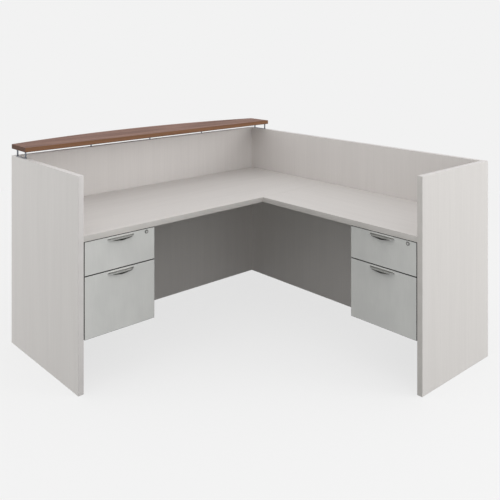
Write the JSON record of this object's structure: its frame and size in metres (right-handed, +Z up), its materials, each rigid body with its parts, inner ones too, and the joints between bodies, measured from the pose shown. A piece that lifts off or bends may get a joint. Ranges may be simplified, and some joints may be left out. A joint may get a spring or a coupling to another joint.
{
  "type": "reception desk",
  "caption": "L-shaped laminate reception desk with a bowed walnut transaction counter on standoffs and hanging box-and-file pedestals whose drawers slide and lock.",
  "frame": {"origin": "on the floor at the centre of the desk's footprint box", "axes": "+Z up, -X towards the visitor, the return runs along +X with its back panel on +Y"},
  "size_m": [1.9744, 1.8034, 1.0985],
  "materials": {
    "laminate": "pale grey woodgrain laminate, matte",
    "front_laminate": "smooth grey laminate, matte",
    "carcass_board": "grey melamine board, matte",
    "tray_board": "clear-coated birch ply",
    "walnut": "walnut laminate, satin",
    "satin_metal": "satin nickel plate",
    "slide_steel": "bright zinc plate"
  },
  "bodies": {
    "desk": {"main_panel": "laminate", "return_panel": "laminate", "left_end_panel": "laminate", "right_end_panel": "laminate", "main_worksurface": "laminate", "return_worksurface": "laminate", "transaction_counter": "walnut", "main_cleat": "slide_steel", "return_cleat": "slide_steel", "left_standoff_bracket": "satin_metal", "right_standoff_bracket": "satin_metal", "standoff_post_1": "satin_metal", "standoff_post_2": "satin_metal", "standoff_post_3": "satin_metal", "left_pedestal_left_side": "carcass_board", "left_pedestal_right_side": "carcass_board", "left_pedestal_back": "carcass_board", "left_pedestal_bottom": "carcass_board", "left_pedestal_top": "carcass_board", "left_box_drawer_slide_left_carcass_member": "slide_steel", "left_box_drawer_slide_right_carcass_member": "slide_steel", "left_file_drawer_slide_left_carcass_member": "slide_steel", "left_file_drawer_slide_right_carcass_member": "slide_steel", "right_pedestal_left_side": "carcass_board", "right_pedestal_right_side": "carcass_board", "right_pedestal_back": "carcass_board", "right_pedestal_bottom": "carcass_board", "right_pedestal_top": "carcass_board", "right_box_drawer_slide_left_carcass_member": "slide_steel", "right_box_drawer_slide_right_carcass_member": "slide_steel", "right_file_drawer_slide_left_carcass_member": "slide_steel", "right_file_drawer_slide_right_carcass_member": "slide_steel"},
    "left_box_drawer": {"left_box_drawer_front": "front_laminate", "left_box_drawer_tray": "tray_board", "left_box_drawer_pull": "satin_metal", "left_box_drawer_slide_left_tray_member": "slide_steel", "left_box_drawer_slide_right_tray_member": "slide_steel", "left_lock_body": "satin_metal"},
    "left_file_drawer": {"left_file_drawer_front": "front_laminate", "left_file_drawer_tray": "tray_board", "left_file_drawer_pull": "satin_metal", "left_file_drawer_slide_left_tray_member": "slide_steel", "left_file_drawer_slide_right_tray_member": "slide_steel"},
    "left_file_slide": {"left_file_drawer_slide_left_middle_member": "slide_steel", "left_file_drawer_slide_right_middle_member": "slide_steel"},
    "left_lock": {"left_lock_plug": "satin_metal"},
    "right_box_drawer": {"right_box_drawer_front": "front_laminate", "right_box_drawer_tray": "tray_board", "right_box_drawer_pull": "satin_metal", "right_box_drawer_slide_left_tray_member": "slide_steel", "right_box_drawer_slide_right_tray_member": "slide_steel", "right_lock_body": "satin_metal"},
    "right_file_drawer": {"right_file_drawer_front": "front_laminate", "right_file_drawer_tray": "tray_board", "right_file_drawer_pull": "satin_metal", "right_file_drawer_slide_left_tray_member": "slide_steel", "right_file_drawer_slide_right_tray_member": "slide_steel"},
    "right_file_slide": {"right_file_drawer_slide_left_middle_member": "slide_steel", "right_file_drawer_slide_right_middle_member": "slide_steel"},
    "right_lock": {"right_lock_plug": "satin_metal"}
  },
  "joints": [
    {"name": "left_box_drawer_slide", "type": "slide", "parent": "desk", "child": "left_box_drawer", "axis": [1, 0, 0], "range_m": [0, 0.375]},
    {"name": "left_file_drawer_slide", "type": "slide", "parent": "desk", "child": "left_file_drawer", "axis": [1, 0, 0], "range_m": [0, 0.5]},
    {"name": "left_file_middle_slide", "type": "slide", "parent": "desk", "child": "left_file_slide", "axis": [1, 0, 0], "range_m": [0, 0.25]},
    {"name": "left_lock_turn", "type": "hinge", "parent": "left_box_drawer", "child": "left_lock", "pos_m": [-0.10905, -0.5181, 0.7022], "axis": [1, 0, 0], "range_deg": [0, 90]},
    {"name": "right_box_drawer_slide", "type": "slide", "parent": "desk", "child": "right_box_drawer", "axis": [0, -1, 0], "range_m": [0, 0.375]},
    {"name": "right_file_drawer_slide", "type": "slide", "parent": "desk", "child": "right_file_drawer", "axis": [0, -1, 0], "range_m": [0, 0.5]},
    {"name": "right_file_middle_slide", "type": "slide", "parent": "desk", "child": "right_file_slide", "axis": [0, -1, 0], "range_m": [0, 0.25]},
    {"name": "right_lock_turn", "type": "hinge", "parent": "right_box_drawer", "child": "right_lock", "pos_m": [0.90355, 0.2961, 0.7022], "axis": [0, -1, 0], "range_deg": [0, 90]}
  ],
  "couplings": [
    {"joint": "left_file_middle_slide", "follows": "left_file_drawer_slide", "ratio": 0.5},
    {"joint": "right_file_middle_slide", "follows": "right_file_drawer_slide", "ratio": 0.5}
  ]
}
